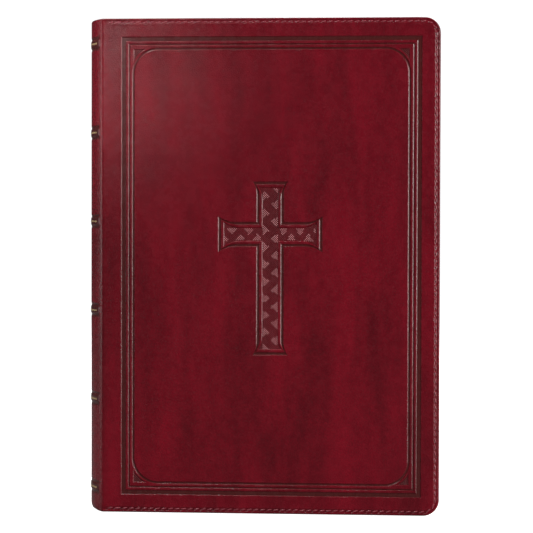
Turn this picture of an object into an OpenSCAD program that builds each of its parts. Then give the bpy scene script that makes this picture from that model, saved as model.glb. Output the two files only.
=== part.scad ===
// Large prayer book in a soft leather-look cover with a rounded, banded spine.
// The book stands on its tail edge: Z runs from tail to head, the spine is at
// -X, the fore-edge at +X and the front cover faces -Y.
// Every hinge line is vertical and lies in the outer face of its cover joint.

/* [Book] */
// Height of the covers and the spine
cover_h = 248; // [180:1:300]
// Width of a cover, from its hinge line to the fore-edge
cover_w = 169; // [120:1:210]
// Thickness of the sewn block of leaves
block_t = 33.6; // [20:0.2:48]
// How far the rounded spine stands out behind the hinge lines
spine_bulge = 8.5; // [6:0.1:12]
// Overhang of the covers past the leaves at head, tail and fore-edge
square_w = 3; // [1:0.5:6]

/* [Cover] */
// Radius of the two fore-edge corners
corner_r = 8; // [2:0.5:14]
// Thickness of the cover leather
leather_t = 1; // [0.7:0.1:1.6]
// Thickness of the card inside a cover
board_t = 1.2; // [0.8:0.1:2.4]
// Thickness of the leather turned over the inside of the card
turn_in_t = 0.5; // [0.4:0.1:1]
// Width of the leather turned over the inside of the card
turn_in_w = 12; // [8:1:20]
// Width of the stitched rim outside the card
rim_w = 4; // [3.5:0.5:8]
// Step from the padded panel down to the stitched rim
rim_drop = 0.5; // [0.2:0.1:0.7]
// Thickness of each endpaper
paper_t = 0.3; // [0.2:0.1:0.5]

/* [Stitching] */
// Distance of the stitch line from the cover's edge
stitch_in = 1.5; // [1:0.1:2]
// Diameter of the sewing thread
thread_d = 0.6; // [0.4:0.1:1]

/* [Joint] */
// Width of the leather strip that bends between spine and cover
hinge_w = 5; // [3:0.5:9]

/* [Spine] */
// Number of raised bands on the spine
band_count = 6; // [3:1:7]
// Distance from head or tail to the nearest band
band_margin = 12.1; // [8:0.1:20]
// Height of one band along the spine
band_w = 3.6; // [2:0.1:6]
// How far a band stands out of the spine
band_proud = 0.5; // [0.2:0.1:0.8]
// Thickness of the card inside the spine
stiffener_t = 0.8; // [0.5:0.1:1.2]
// Height of a gilt line along the spine
gilt_line_w = 0.8; // [0.5:0.1:1.5]
// Thickness of the gilding
gilt_t = 0.1; // [0.1:0.05:0.2]
// Radius of the bead of a headband
bead_r = 1.1; // [0.6:0.1:1.4]

/* [Cover tooling] */
// Depth of the pressed lines
tooling_d = 0.3; // [0.1:0.1:0.5]
// Distance of the pressed frame from the cover's edges
frame_in = 9.3; // [7:0.1:16]
// Overall height of the cross
cross_h = 86.8; // [40:0.1:120]
// Overall width of the cross
cross_w = 52.2; // [24:0.1:80]
// Height of the cross's foot above the tail edge
cross_foot_z = 79.6; // [20:0.1:110]
// Height of the middle of the cross's arms above its foot
cross_arm_z = 60.4; // [20:0.1:90]
// Width of the upright between its flared ends
upright_w = 13.7; // [8:0.1:24]
// Width of the arms between their flared ends
arm_w = 12.5; // [8:0.1:24]
// Width of each flared end
flare_w = 17.8; // [10:0.1:36]

/* [Hidden] */
$fn = 64;

// Gap between neighbours that move apart, and between sections of one group
body_gap = 0.3;
leaf_gap = 0.1;

// The leaves are sewn in sections, and each group of them swings as one
group_count = 8;
per_group = 3;
section_count = group_count * per_group;
group_t = block_t / group_count;
section_t = (group_t - body_gap - (per_group - 1) * leaf_gap) / per_group;

cover_t = leather_t + board_t + turn_in_t;
// Half the closed book's thickness: block, flyleaf and cover with their gaps
half_t = block_t / 2 + body_gap + paper_t + body_gap + cover_t;

// Spine arc through both hinge lines
spine_r = (half_t * half_t + spine_bulge * spine_bulge) / (2 * spine_bulge);
spine_reach = spine_bulge + band_proud + gilt_t;
hinge_x = (spine_reach - cover_w) / 2;
spine_cx = hinge_x - spine_bulge + spine_r;

// Layers behind the spine leather, from outside to the backs of the sections
stiffener_r = spine_r - leather_t;
lining_clear = 0.2;
lining_r = stiffener_r - stiffener_t - lining_clear;
mull_t = 0.3;
mull_r = lining_r - paper_t;
back_r = mull_r - mull_t;
// Least depth of a section's fold behind the hinge line
fold_min = 0.8;

leaf_z0 = square_w;
leaf_z1 = cover_h - square_w;
leaf_w = cover_w - square_w + fold_min;

// The cover starts far enough out for its joint strip to swing inside it
cover_x0 = hinge_x + sqrt(hinge_w * hinge_w + leather_t * leather_t) + body_gap;
cover_x1 = hinge_x + cover_w;
board_x0 = cover_x0 + 2.5;
flyleaf_x0 = hinge_x + sqrt(hinge_w * hinge_w + leather_t * leather_t) + 2 * body_gap;

band_pitch = (cover_h - 2 * band_margin) / (band_count - 1);
lozenge_w = 5;
lozenge_pitch = 9;

// How far round the spine each layer goes, as an angle each side of its middle
// (the leather stops where its inner edge meets the gap behind the hinge line)
shell_a = acos((spine_cx - hinge_x + body_gap) / stiffener_r);
gilt_a = asin((half_t - 3.5) / spine_r);
card_a = asin((block_t / 2 - 1) / stiffener_r);
lining_a = asin((block_t / 2 - 3) / mull_r);

function section_name(i) = str("section_", i < 9 ? "0" : "", i + 1);
function section_y(i) = -block_t / 2 + floor(i / per_group) * group_t + body_gap / 2
    + (i % per_group) * (section_t + leaf_gap);

// How far behind the hinge line the rounded back of the block is at a given y
function fold_depth(y) = max(fold_min,
    sqrt(max(back_r * back_r - y * y, 0)) - (spine_cx - hinge_x));
function fore_edge_x(y) = hinge_x - fold_depth(y) + leaf_w;
function band_z(i) = band_margin + i * band_pitch;

// ---- shared shapes ----

// Part of an upright round shell about the spine's axis, as wide as half_a each side
module spine_shell(r_in, r_out, half_a, z0, z1) {
    spine_sweep(-half_a, half_a)
        translate([r_in, z0]) square([r_out - r_in, z1 - z0]);
}

// A profile in radius and Z, swept about the spine's axis between two angles
module spine_sweep(a0, a1) {
    translate([spine_cx, 0, 0]) rotate([0, 0, 180 + a0])
        rotate_extrude(angle = a1 - a0) children();
}

// An outline in X and Z, made solid between two depths from the front face
module front_layer(d0, d1) {
    translate([0, d1 - half_t, 0]) rotate([90, 0, 0])
        linear_extrude(d1 - d0) children();
}

// A panel whose two fore-edge corners are round
module panel(x0, x1, z0, z1, r) {
    translate([x0, z0]) square([x1 - x0 - r, z1 - z0]);
    translate([x1 - r, z0 + r]) square([r, z1 - z0 - 2 * r]);
    for (z = [z0 + r, z1 - r]) translate([x1 - r, z]) circle(r);
}

module cover_outline(x0, inset) {
    panel(x0, cover_x1 - inset, inset, cover_h - inset, max(corner_r - inset, 1));
}

// ---- spine ----

// Leather with its bands and its ends turned over the card, as one swept profile
module spine_leather() {
    color("#5A2329") spine_sweep(-shell_a, shell_a) banded_profile();
}

module banded_profile() {
    fold_r = stiffener_r - stiffener_t;
    half_w = band_w / 2;
    polygon(concat(
        [[fold_r, 0], [spine_r, 0]],
        [for (i = [0:band_count - 1]) each band_steps(spine_r, band_z(i), half_w)],
        [[spine_r, cover_h], [fold_r, cover_h], [fold_r, cover_h - leather_t],
         [stiffener_r, cover_h - leather_t]],
        [for (i = [band_count - 1:-1:0]) each band_steps(stiffener_r, band_z(i), -half_w)],
        [[stiffener_r, leather_t], [fold_r, leather_t]]));
}

// The four corners where a band steps out of radius r and back
function band_steps(r, z, half_w) =
    [[r, z - half_w], [r + band_proud, z - half_w], [r + band_proud, z + half_w], [r, z + half_w]];

module spine_stiffener() {
    color("#B8A98C")
        spine_shell(stiffener_r - stiffener_t, stiffener_r, card_a, leather_t, cover_h - leather_t);
}

// Card strips under the leather, which lift it into bands
module spine_bands() {
    color("#9C8B6E") for (i = [0:band_count - 1])
        spine_shell(stiffener_r, stiffener_r + band_proud, shell_a,
            band_z(i) - band_w / 2, band_z(i) + band_w / 2);
}

// A gilt line on every band, and a plain row of lozenges between two of them
module spine_gilding() {
    gilt_r = spine_r + band_proud;
    color("#B59A62") {
        for (i = [0:band_count - 1])
            spine_shell(gilt_r, gilt_r + gilt_t, gilt_a,
                band_z(i) - gilt_line_w / 2, band_z(i) + gilt_line_w / 2);
        for (n = [-1:1]) lozenge(band_z(band_count - 2) - band_pitch / 2 + n * lozenge_pitch);
    }
}

module lozenge(z) {
    intersection() {
        spine_shell(spine_r, spine_r + gilt_t, lining_a, z - lozenge_w, z + lozenge_w);
        translate([hinge_x, 0, z]) rotate([45, 0, 0])
            cube([4 * spine_bulge, lozenge_w, lozenge_w], center = true);
    }
}

module spine_lining() {
    color("#C9B48A")
        spine_shell(lining_r - paper_t, lining_r, lining_a, leaf_z0 + 2, leaf_z1 - 2);
}

// Open-weave cloth glued to the backs of the sections
module spine_mull() {
    color("#E4DECB")
        spine_shell(mull_r - mull_t, mull_r, lining_a, leaf_z0 + 15, leaf_z1 - 15);
}

// A bead of thread on a short tape that is glued behind the sections
module end_band() {
    tape_h = 12;
    spine_shell(back_r, back_r + mull_t, lining_a, -tape_h, bead_r);
    spine_sweep(-lining_a, lining_a)
        translate([back_r - bead_r / 2, bead_r]) circle(bead_r, $fn = 24);
}

module head_band() {
    color("#C8A24A") translate([0, 0, leaf_z1]) end_band();
}

module tail_band() {
    color("#C8A24A") translate([0, 0, leaf_z0]) mirror([0, 0, 1]) end_band();
}

// The sewn backs of all sections, which stay in the rounded spine
module section_folds() {
    color("#E9E2D0") for (i = [0:section_count - 1]) section_fold(i);
}

module section_fold(i) {
    y0 = section_y(i);
    y1 = y0 + section_t;
    x1 = hinge_x - body_gap;
    translate([0, 0, leaf_z0]) linear_extrude(leaf_z1 - leaf_z0)
        polygon([[hinge_x - fold_depth(y0), y0], [x1, y0], [x1, y1],
                 [hinge_x - fold_depth(y1), y1]]);
}

// ---- leaves ----

// The free leaves of one section, from the hinge line to the hollow fore-edge
module section(i) {
    y0 = section_y(i);
    y1 = y0 + section_t;
    color("#EFE9DA") translate([0, 0, leaf_z0]) linear_extrude(leaf_z1 - leaf_z0)
        polygon([[hinge_x, y0], [fore_edge_x(y0), y0], [fore_edge_x(y1), y1], [hinge_x, y1]]);
}

module flyleaf() {
    d0 = cover_t + body_gap;
    front_layer(d0, d0 + paper_t)
        translate([flyleaf_x0, leaf_z0])
            square([cover_x1 - square_w - flyleaf_x0, leaf_z1 - leaf_z0]);
}

module front_flyleaf() {
    color("#F1ECDF") flyleaf();
}

module back_flyleaf() {
    color("#F1ECDF") mirror([0, 1, 0]) flyleaf();
}

// ---- covers ----

module hinge_leather() {
    front_layer(0, leather_t)
        translate([hinge_x, 0]) square([hinge_w, cover_h]);
}

module front_hinge_leather() {
    color("#6E1A24") hinge_leather();
}

module back_hinge_leather() {
    color("#6E1A24") mirror([0, 1, 0]) hinge_leather();
}

// Leather wrapped round the card: a padded panel, a thinner rim and a turn-in
module cover_leather() {
    difference() {
        union() {
            front_layer(0, leather_t + board_t) cover_outline(cover_x0, rim_w);
            front_layer(rim_drop, cover_t) cover_outline(cover_x0, 0);
        }
        front_layer(leather_t, leather_t + board_t) cover_outline(board_x0, rim_w);
        front_layer(leather_t, cover_t + 1) pastedown_outline();
        front_layer(rim_drop - 1, rim_drop + thread_d / 2) stitch_outline();
    }
}

module stitch_outline() {
    difference() {
        cover_outline(cover_x0 + stitch_in, stitch_in);
        cover_outline(cover_x0, stitch_in + thread_d);
    }
}

module pastedown_outline() {
    cover_outline(board_x0 + turn_in_w / 2, rim_w + turn_in_w);
}

module cover_board() {
    front_layer(leather_t, leather_t + board_t) cover_outline(board_x0, rim_w);
}

module pastedown() {
    d0 = leather_t + board_t;
    front_layer(d0, d0 + paper_t) pastedown_outline();
}

// One line of thread round head, fore-edge and tail, half sunk in its groove
module cover_stitching() {
    front_layer(rim_drop - thread_d / 4, rim_drop + thread_d / 2) stitch_outline();
}

module front_cover_leather() {
    color("#6E1A24") difference() {
        cover_leather();
        front_layer(-1, tooling_d) frame_tooling();
        front_layer(-1, tooling_d) cross_tooling();
    }
}

module back_cover_leather() {
    color("#6E1A24") mirror([0, 1, 0]) difference() {
        cover_leather();
        front_layer(-1, tooling_d) frame_tooling();
    }
}

module front_cover_board() {
    color("#B8A98C") cover_board();
}

module back_cover_board() {
    color("#B8A98C") mirror([0, 1, 0]) cover_board();
}

module front_pastedown() {
    color("#F1ECDF") pastedown();
}

module back_pastedown() {
    color("#F1ECDF") mirror([0, 1, 0]) pastedown();
}

module front_cover_stitching() {
    color("#A04A55") cover_stitching();
}

module back_cover_stitching() {
    color("#A04A55") mirror([0, 1, 0]) cover_stitching();
}

// ---- pressed tooling, drawn in X and Z ----

module frame_rect(inset, r) {
    x0 = hinge_x + frame_in + inset;
    z0 = frame_in + inset;
    w = cover_w - 2 * (frame_in + inset);
    h = cover_h - 2 * (frame_in + inset);
    if (r <= 0) translate([x0, z0]) square([w, h]);
    else {
        translate([x0 + r, z0]) square([w - 2 * r, h]);
        translate([x0, z0 + r]) square([w, h - 2 * r]);
        for (x = [x0 + r, x0 + w - r], z = [z0 + r, z0 + h - r])
            translate([x, z]) circle(r);
    }
}

// A broad line, a thin line, a round-cornered line and four corner pieces
module frame_tooling() {
    broad_w = 2.5;
    thin_in = 3.5;
    thin_w = 1;
    round_in = 5.5;
    round_w = 1.3;
    round_r = 13;
    spandrel_gap = 1.2;
    difference() {
        frame_rect(0, 0);
        frame_rect(broad_w, 0);
    }
    difference() {
        frame_rect(thin_in, 0);
        frame_rect(thin_in + thin_w, 0);
    }
    difference() {
        frame_rect(round_in, round_r);
        frame_rect(round_in + round_w, round_r - round_w);
    }
    difference() {
        frame_rect(round_in, 0);
        frame_rect(round_in - spandrel_gap, round_r + spandrel_gap);
    }
}

// Half width of an arm at a distance from its flared end
function arm_half(t, mid, end, flare) =
    t >= flare ? mid : mid + (end - mid) * pow(1 - t / flare, 2);

// Outline of one arm that points along +Z from the cross's middle
module cross_arm(len, mid, end, flare) {
    steps = 5;
    side = [for (i = [0:steps]) let (t = flare * i / steps) [arm_half(t, mid, end, flare), len - t]];
    polygon(concat(
        side,
        [[mid, 0], [-mid, 0]],
        [for (i = [steps:-1:0]) [-side[i][0], side[i][1]]]));
}

module cross_outline(inset) {
    upright_flare = 6;
    arm_flare = 8;
    mid_u = upright_w / 2 - inset;
    mid_a = arm_w / 2 - inset;
    end = flare_w / 2 - inset;
    translate([hinge_x + cover_w / 2, cross_foot_z + cross_arm_z]) {
        cross_arm(cross_h - cross_arm_z - inset, mid_u, end, upright_flare);
        rotate(180) cross_arm(cross_arm_z - inset, mid_u, end, upright_flare);
        for (a = [-90, 90])
            rotate(a) cross_arm(cross_w / 2 - inset, mid_a, end, arm_flare);
    }
}

// A pressed outline round a sunk field with a staggered row of raised diamonds
module cross_tooling() {
    outline_w = 1.6;
    field_in = 2.7;
    difference() {
        cross_outline(0);
        cross_outline(outline_w);
    }
    difference() {
        cross_outline(field_in);
        cross_diamonds();
    }
}

module cross_diamonds() {
    pitch = 8.6;
    side = 2.6;
    offset_x = 1.7;
    up = floor((cross_h - cross_arm_z - 8) / pitch);
    down = floor((cross_arm_z - 8) / pitch);
    across = floor((cross_w / 2 - 8) / pitch);
    translate([hinge_x + cover_w / 2, cross_foot_z + cross_arm_z]) {
        for (n = [-down:up]) {
            translate([-offset_x, (n + 0.25) * pitch]) rotate(45) square(side, center = true);
            translate([offset_x, (n - 0.25) * pitch]) rotate(45) square(side, center = true);
        }
        for (n = [-across:across]) if (n != 0) {
            translate([(n - 0.25) * pitch, offset_x]) rotate(45) square(side, center = true);
            translate([(n + 0.25) * pitch, -offset_x]) rotate(45) square(side, center = true);
        }
    }
}

spine_leather();
spine_stiffener();
spine_bands();
spine_gilding();
spine_lining();
spine_mull();
head_band();
tail_band();
section_folds();
for (i = [0:section_count - 1])
    section(i);
front_flyleaf();
back_flyleaf();
front_hinge_leather();
back_hinge_leather();
front_cover_leather();
front_cover_board();
front_pastedown();
front_cover_stitching();
back_cover_leather();
back_cover_board();
back_pastedown();
back_cover_stitching();
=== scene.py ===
import math
import random

import bmesh
import bpy
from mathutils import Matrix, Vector, noise
from mathutils.geometry import delaunay_2d_cdt


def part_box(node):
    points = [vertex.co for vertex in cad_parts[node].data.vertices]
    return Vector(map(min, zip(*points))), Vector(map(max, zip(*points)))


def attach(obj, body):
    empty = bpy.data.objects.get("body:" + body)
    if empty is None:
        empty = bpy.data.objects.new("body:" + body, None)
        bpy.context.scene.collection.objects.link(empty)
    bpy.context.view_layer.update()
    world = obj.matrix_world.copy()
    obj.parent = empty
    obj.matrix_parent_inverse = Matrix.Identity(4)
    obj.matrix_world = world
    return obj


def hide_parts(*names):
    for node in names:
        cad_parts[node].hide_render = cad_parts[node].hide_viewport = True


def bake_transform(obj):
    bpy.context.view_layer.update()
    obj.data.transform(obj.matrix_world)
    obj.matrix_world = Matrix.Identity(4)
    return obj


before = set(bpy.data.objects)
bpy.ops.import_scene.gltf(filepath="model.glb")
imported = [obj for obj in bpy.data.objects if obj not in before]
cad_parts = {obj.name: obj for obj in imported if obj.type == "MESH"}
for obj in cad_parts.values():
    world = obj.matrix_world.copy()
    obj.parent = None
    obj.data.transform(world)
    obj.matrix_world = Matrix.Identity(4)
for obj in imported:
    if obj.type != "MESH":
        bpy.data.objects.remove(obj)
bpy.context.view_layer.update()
mm = 0.001


def side(node, corner, axis):
    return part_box(node)[corner][axis] / mm


# The book's main sizes, read from the frame in millimetres
book = {
    "height": side("front_cover_leather", 1, 2),
    "halfT": -side("front_cover_leather", 0, 1),
    "hingeX": side("front_hinge_leather", 0, 0),
    "coverX0": side("front_cover_leather", 0, 0),
    "edgeX": side("front_cover_leather", 1, 0),
    "coverT": side("front_cover_leather", 1, 1) - side("front_cover_leather", 0, 1),
    "bandProud": side("spine_stiffener", 0, 0) - side("spine_bands", 0, 0),
    "bandHalf": 1.8,
    "bandCount": 6,
}
bulge = book["hingeX"] - side("spine_leather", 0, 0) - book["bandProud"]
spineR = (book["halfT"] ** 2 + bulge**2) / (2 * bulge)
spineX = book["hingeX"] - bulge + spineR
height, halfT, hingeX, edgeX = (book[k] for k in ("height", "halfT", "hingeX", "edgeX"))
firstBand = side("spine_bands", 0, 2) + book["bandHalf"]
lastBand = side("spine_bands", 1, 2) - book["bandHalf"]
bandStep = (lastBand - firstBand) / (book["bandCount"] - 1)
bandHeights = [firstBand + i * bandStep for i in range(book["bandCount"])]


def linear(hexColour):
    channels = [int(hexColour[i : i + 2], 16) / 255 for i in (1, 3, 5)]
    return tuple(c / 12.92 if c <= 0.04045 else ((c + 0.055) / 1.055) ** 2.4 for c in channels) + (1.0,)


def smooth(t):
    t = min(1.0, max(0.0, t))
    return t * t * (3 - 2 * t)


def bump(t):
    return math.cos(t * math.pi / 2) ** 2 if abs(t) < 1 else 0.0


def feed(tree, node, inputs):
    for key, value in inputs.items():
        if isinstance(value, bpy.types.NodeSocket):
            tree.links.new(value, node.inputs[key])
        else:
            node.inputs[key].default_value = value


def addNode(tree, kind, settings=None, inputs=None):
    node = tree.nodes.new(kind)
    for key, value in (settings or {}).items():
        setattr(node, key, value)
    feed(tree, node, inputs or {})
    return node


def makePiece(name, points, faces, material, values=None, vectors=None, sharpAngle=38):
    mesh = bpy.data.meshes.new(name)
    mesh.from_pydata([Vector(p) * mm for p in points], [], faces)
    for key, numbers in (values or {}).items():
        mesh.attributes.new(key, "FLOAT", "POINT").data.foreach_set("value", numbers)
    for key, triples in (vectors or {}).items():
        flat = [c * mm for triple in triples for c in triple]
        mesh.attributes.new(key, "FLOAT_VECTOR", "POINT").data.foreach_set("vector", flat)
    shape = bmesh.new()
    shape.from_mesh(mesh)
    bmesh.ops.remove_doubles(shape, verts=shape.verts, dist=1e-7)
    bmesh.ops.recalc_face_normals(shape, faces=shape.faces)
    shape.to_mesh(mesh)
    shape.free()
    mesh.polygons.foreach_set("use_smooth", [True] * len(mesh.polygons))
    mesh.set_sharp_from_angle(angle=math.radians(sharpAngle))
    mesh.materials.append(material)
    piece = bpy.data.objects.new(name, mesh)
    bpy.context.scene.collection.objects.link(piece)
    return piece


def gridFaces(rows, columns, first=0, closed=False):
    faces = []
    for r in range(rows - 1):
        for c in range(columns if closed else columns - 1):
            d = (c + 1) % columns
            faces.append(
                (first + r * columns + c, first + r * columns + d,
                 first + (r + 1) * columns + d, first + (r + 1) * columns + c)
            )
    return faces


# Two grids of the same size, joined round their borders into one closed shell
def shellFaces(rows, columns):
    size = rows * columns
    faces = gridFaces(rows, columns) + gridFaces(rows, columns, size)
    ring = (
        [c for c in range(columns)]
        + [r * columns + columns - 1 for r in range(1, rows)]
        + [(rows - 1) * columns + c for c in range(columns - 2, -1, -1)]
        + [r * columns for r in range(rows - 2, 0, -1)]
    )
    for a, b in zip(ring, ring[1:] + ring[:1]):
        faces.append((a, b, b + size, a + size))
    return faces


print("frame read, helpers ready")


def newMaterial(name):
    material = bpy.data.materials.new(name)
    material.use_nodes = True
    tree = material.node_tree
    tree.nodes.clear()
    output = addNode(tree, "ShaderNodeOutputMaterial")
    shader = addNode(tree, "ShaderNodeBsdfPrincipled")
    tree.links.new(shader.outputs[0], output.inputs[0])
    return material, tree, shader


def calc(tree, operation, *values):
    return addNode(tree, "ShaderNodeMath", {"operation": operation}, dict(enumerate(values))).outputs[0]


def noiseFac(tree, place, scale, detail, roughness, distortion=0.0):
    return addNode(
        tree, "ShaderNodeTexNoise", {},
        {"Vector": place, "Scale": scale, "Detail": detail, "Roughness": roughness, "Distortion": distortion},
    ).outputs["Fac"]


def remap(tree, value, low, high, newLow=0.0, newHigh=1.0, curve="LINEAR"):
    return addNode(
        tree, "ShaderNodeMapRange", {"interpolation_type": curve},
        {"Value": value, "From Min": low, "From Max": high, "To Min": newLow, "To Max": newHigh},
    ).outputs[0]


def mixColours(tree, share, first, second):
    return addNode(tree, "ShaderNodeMix", {"data_type": "RGBA"}, {0: share, 6: first, 7: second}).outputs[2]


def reliefNormal(tree, strength, depth, heights):
    return addNode(
        tree, "ShaderNodeBump", {}, {"Strength": strength, "Distance": depth * mm, "Height": heights}
    ).outputs[0]


def ownAttribute(tree, name):
    return addNode(tree, "ShaderNodeAttribute", {"attribute_name": name}).outputs


# Polyurethane leather, embossed and waxed: deep burgundy with upright two-tone clouds, a fine
# pebbled grain with a soft gloss on it, and a brown scorch where the hot brass tools pressed
leatherLook = {
    "dark": "#550814",
    "light": "#780B1D",
    "scorch": "#491A1A",
    "cloudWidth": 17.0,
    "cloudHeight": 75.0,
    "mottle": 5.0,
    "grain": 0.85,
    "grainHeight": 0.038,
    "roughness": 0.25,
}


def makeLeather():
    look = leatherLook
    material, tree, shader = newMaterial("burgundyLeatherEmbossed")
    tooled = ownAttribute(tree, "tooled")["Fac"]
    inMm = addNode(
        tree, "ShaderNodeVectorMath", {"operation": "SCALE"},
        {0: ownAttribute(tree, "place")["Vector"], "Scale": 1000.0},
    ).outputs[0]
    stretched = addNode(
        tree, "ShaderNodeMapping", {},
        {"Vector": inMm, "Scale": (1 / look["cloudWidth"], 0.02, 1 / look["cloudHeight"])},
    ).outputs[0]
    clouds = noiseFac(tree, stretched, 1.0, 3.0, 0.6, 0.3)
    mottle = noiseFac(tree, inMm, 1 / look["mottle"], 5.0, 0.65)
    pores = noiseFac(tree, inMm, 0.9, 4.0, 0.75)
    tone = calc(tree, "MULTIPLY_ADD", mottle, 0.45, clouds)
    speckled = calc(tree, "MULTIPLY_ADD", pores, 0.35, tone)
    skin = mixColours(tree, remap(tree, speckled, 0.66, 1.14), linear(look["dark"]), linear(look["light"]))
    wander = addNode(
        tree, "ShaderNodeTexNoise", {}, {"Vector": inMm, "Scale": 0.9, "Detail": 2.0, "Roughness": 0.5}
    )
    shifted = addNode(
        tree, "ShaderNodeVectorMath", {"operation": "MULTIPLY_ADD"},
        {0: wander.outputs["Color"], 1: (0.7, 0.7, 0.7), 2: inMm},
    )
    cells = addNode(
        tree, "ShaderNodeTexVoronoi", {"feature": "DISTANCE_TO_EDGE"},
        {"Vector": shifted.outputs[0], "Scale": 1 / look["grain"], "Randomness": 1.0},
    )
    pebble = remap(tree, cells.outputs["Distance"], 0.0, 0.28, 0.0, 1.0, "SMOOTHSTEP")
    creases = noiseFac(tree, inMm, 0.35, 6.0, 0.7, 0.8)
    heights = calc(tree, "MULTIPLY_ADD", creases, 1.3, pebble)
    strength = calc(tree, "MULTIPLY", remap(tree, tooled, 0.0, 1.0, 1.0, 0.35), 0.9)
    feed(tree, shader, {
        "Base Color": mixColours(tree, tooled, skin, linear(look["scorch"])),
        "Roughness": remap(tree, mottle, 0.3, 0.7, look["roughness"] - 0.05, look["roughness"] + 0.09),
        "Normal": reliefNormal(tree, strength, look["grainHeight"], heights),
        "IOR": 1.45, "Specular IOR Level": 0.28,
    })
    return material


# Simple finishes share one build: a base colour mottled towards a second one at a real scale,
# with a fine relief. Each entry says what the stuff is and what the eye should get
plainFinish = {"stretch": (1, 1, 1), "metallic": 0.0, "sheen": 0.0}
finishes = {
    # bonded polyester thread, twisted: pinkish burgundy, with small bright twists
    "polyesterThreadTwisted": {
        "colours": ("#7A2733", "#95404C"), "scale": 0.6, "relief": 0.04, "roughness": 0.27, "sheen": 0.15,
    },
    # stamped gold foil: warm metal, worn thin in specks
    "goldFoilStamped": {
        "colours": ("#C2A87E", "#8F754E"), "scale": 0.5, "relief": 0.02, "roughness": 0.38, "metallic": 0.3,
    },
    # pressed fine tooling on the raised points: dusty rose brown, far paler than the leather, a painted
    # highlight on their tips
    "leatherHatchPaintedHighlight": {
        "colours": ("#D39C9F", "#B27C80"), "scale": 0.4, "relief": 0.01, "roughness": 0.38,
    },
    # pressed fine tooling in the scorched ground: dark brown
    "leatherHatchScorched": {
        "colours": ("#5E2229", "#3C1116"), "scale": 0.4, "relief": 0.01, "roughness": 0.45,
    },
    # thin uncoated book paper: warm white with faint cloudy fibres
    "bookPaperUncoated": {
        "colours": ("#EFE8D6", "#E4DAC3"), "scale": 0.7, "relief": 0.03, "roughness": 0.85,
    },
    # laid endpaper, heavier than the leaves: ivory with soft flecks
    "endpaperLaid": {
        "colours": ("#EFE7D3", "#E6DCC3"), "scale": 1.6, "stretch": (1, 1, 3), "relief": 0.04,
        "roughness": 0.8,
    },
    # grey bookbinder's card: recycled fibre, speckled and matt
    "bindersCardPressed": {
        "colours": ("#9A8C74", "#7F735F"), "scale": 2.2, "relief": 0.08, "roughness": 0.9,
    },
    # brown kraft paper with its machine-made grain
    "kraftPaperRolled": {
        "colours": ("#B98F5E", "#9B7547"), "scale": 1.4, "stretch": (1, 1, 10), "relief": 0.04,
        "roughness": 0.8,
    },
    # silk thread of the headbands, in two colours: bright, tightly wound
    "silkThreadGold": {
        "colours": ("#C9A24B", "#A9812F"), "scale": 0.5, "relief": 0.05, "roughness": 0.35, "sheen": 0.5,
    },
    "silkThreadBurgundy": {
        "colours": ("#7A1E2B", "#5A131E"), "scale": 0.5, "relief": 0.05, "roughness": 0.35, "sheen": 0.5,
    },
}


def makeFinish(name):
    look = {**plainFinish, **finishes[name]}
    material, tree, shader = newMaterial(name)
    where = addNode(tree, "ShaderNodeTexCoord")
    inMm = addNode(
        tree, "ShaderNodeMapping", {},
        {"Vector": where.outputs["Object"], "Scale": tuple(1000 / s for s in look["stretch"])},
    )
    fibres = noiseFac(tree, inMm.outputs[0], 1 / look["scale"], 6.0, 0.7)
    base, second = (linear(colour) for colour in look["colours"])
    matter = min(1.0, look["roughness"] + 0.1)
    feed(tree, shader, {
        "Base Color": mixColours(tree, remap(tree, fibres, 0.35, 0.65), base, second),
        "Roughness": remap(tree, fibres, 0.3, 0.7, look["roughness"] - 0.05, matter),
        "Normal": reliefNormal(tree, 0.6, look["relief"], fibres),
        "Metallic": look["metallic"], "Sheen Weight": look["sheen"],
    })
    return material


# Cut edges of the stack of leaves: cream, each leaf edge a slightly different tone
leafEdgeLook = {"light": "#F0E9D8", "shade": "#CDBF9F", "leafPitch": 0.3}


def makeLeafEdges():
    look = leafEdgeLook
    material, tree, shader = newMaterial("bookPaperStacked")
    place = ownAttribute(tree, "place")["Vector"]
    inMm = addNode(
        tree, "ShaderNodeMapping", {}, {"Vector": place, "Scale": (12.0, 1000 / look["leafPitch"], 12.0)}
    )
    tones = remap(tree, noiseFac(tree, inMm.outputs[0], 1.0, 2.0, 0.6), 0.3, 0.75)
    shade = calc(tree, "MULTIPLY", tones, ownAttribute(tree, "edge")["Fac"])
    feed(tree, shader, {
        "Base Color": mixColours(tree, shade, linear(look["light"]), linear(look["shade"])),
        "Roughness": 0.82,
        "Normal": reliefNormal(tree, 0.4, 0.02, noiseFac(tree, place, 1400.0, 3.0, 0.6)),
    })
    return material


# Open-weave cotton: two sets of threads at right angles, with small gaps between them
weaveLook = {"thread": "#E6DFCB", "gap": "#A39A80", "pitch": 0.9}


def makeWeave():
    look = weaveLook
    material, tree, shader = newMaterial("cottonMullWoven")
    where = addNode(tree, "ShaderNodeTexCoord")
    inMm = addNode(
        tree, "ShaderNodeMapping", {}, {"Vector": where.outputs["Object"], "Scale": (1000, 1000, 1000)}
    )
    threads = [
        addNode(
            tree, "ShaderNodeTexWave", {"bands_direction": direction},
            {"Vector": inMm.outputs[0], "Scale": 0.314 / look["pitch"], "Distortion": 0.4},
        ).outputs["Fac"]
        for direction in ("Y", "Z")
    ]
    cloth = calc(tree, "MAXIMUM", *threads)
    feed(tree, shader, {
        "Base Color": mixColours(tree, cloth, linear(look["gap"]), linear(look["thread"])),
        "Roughness": 0.9,
        "Normal": reliefNormal(tree, 0.8, 0.15, cloth),
    })
    return material


leather = makeLeather()
leafEdges = makeLeafEdges()
mullCloth = makeWeave()
made = {name: makeFinish(name) for name in finishes}
print("materials ready")

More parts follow.
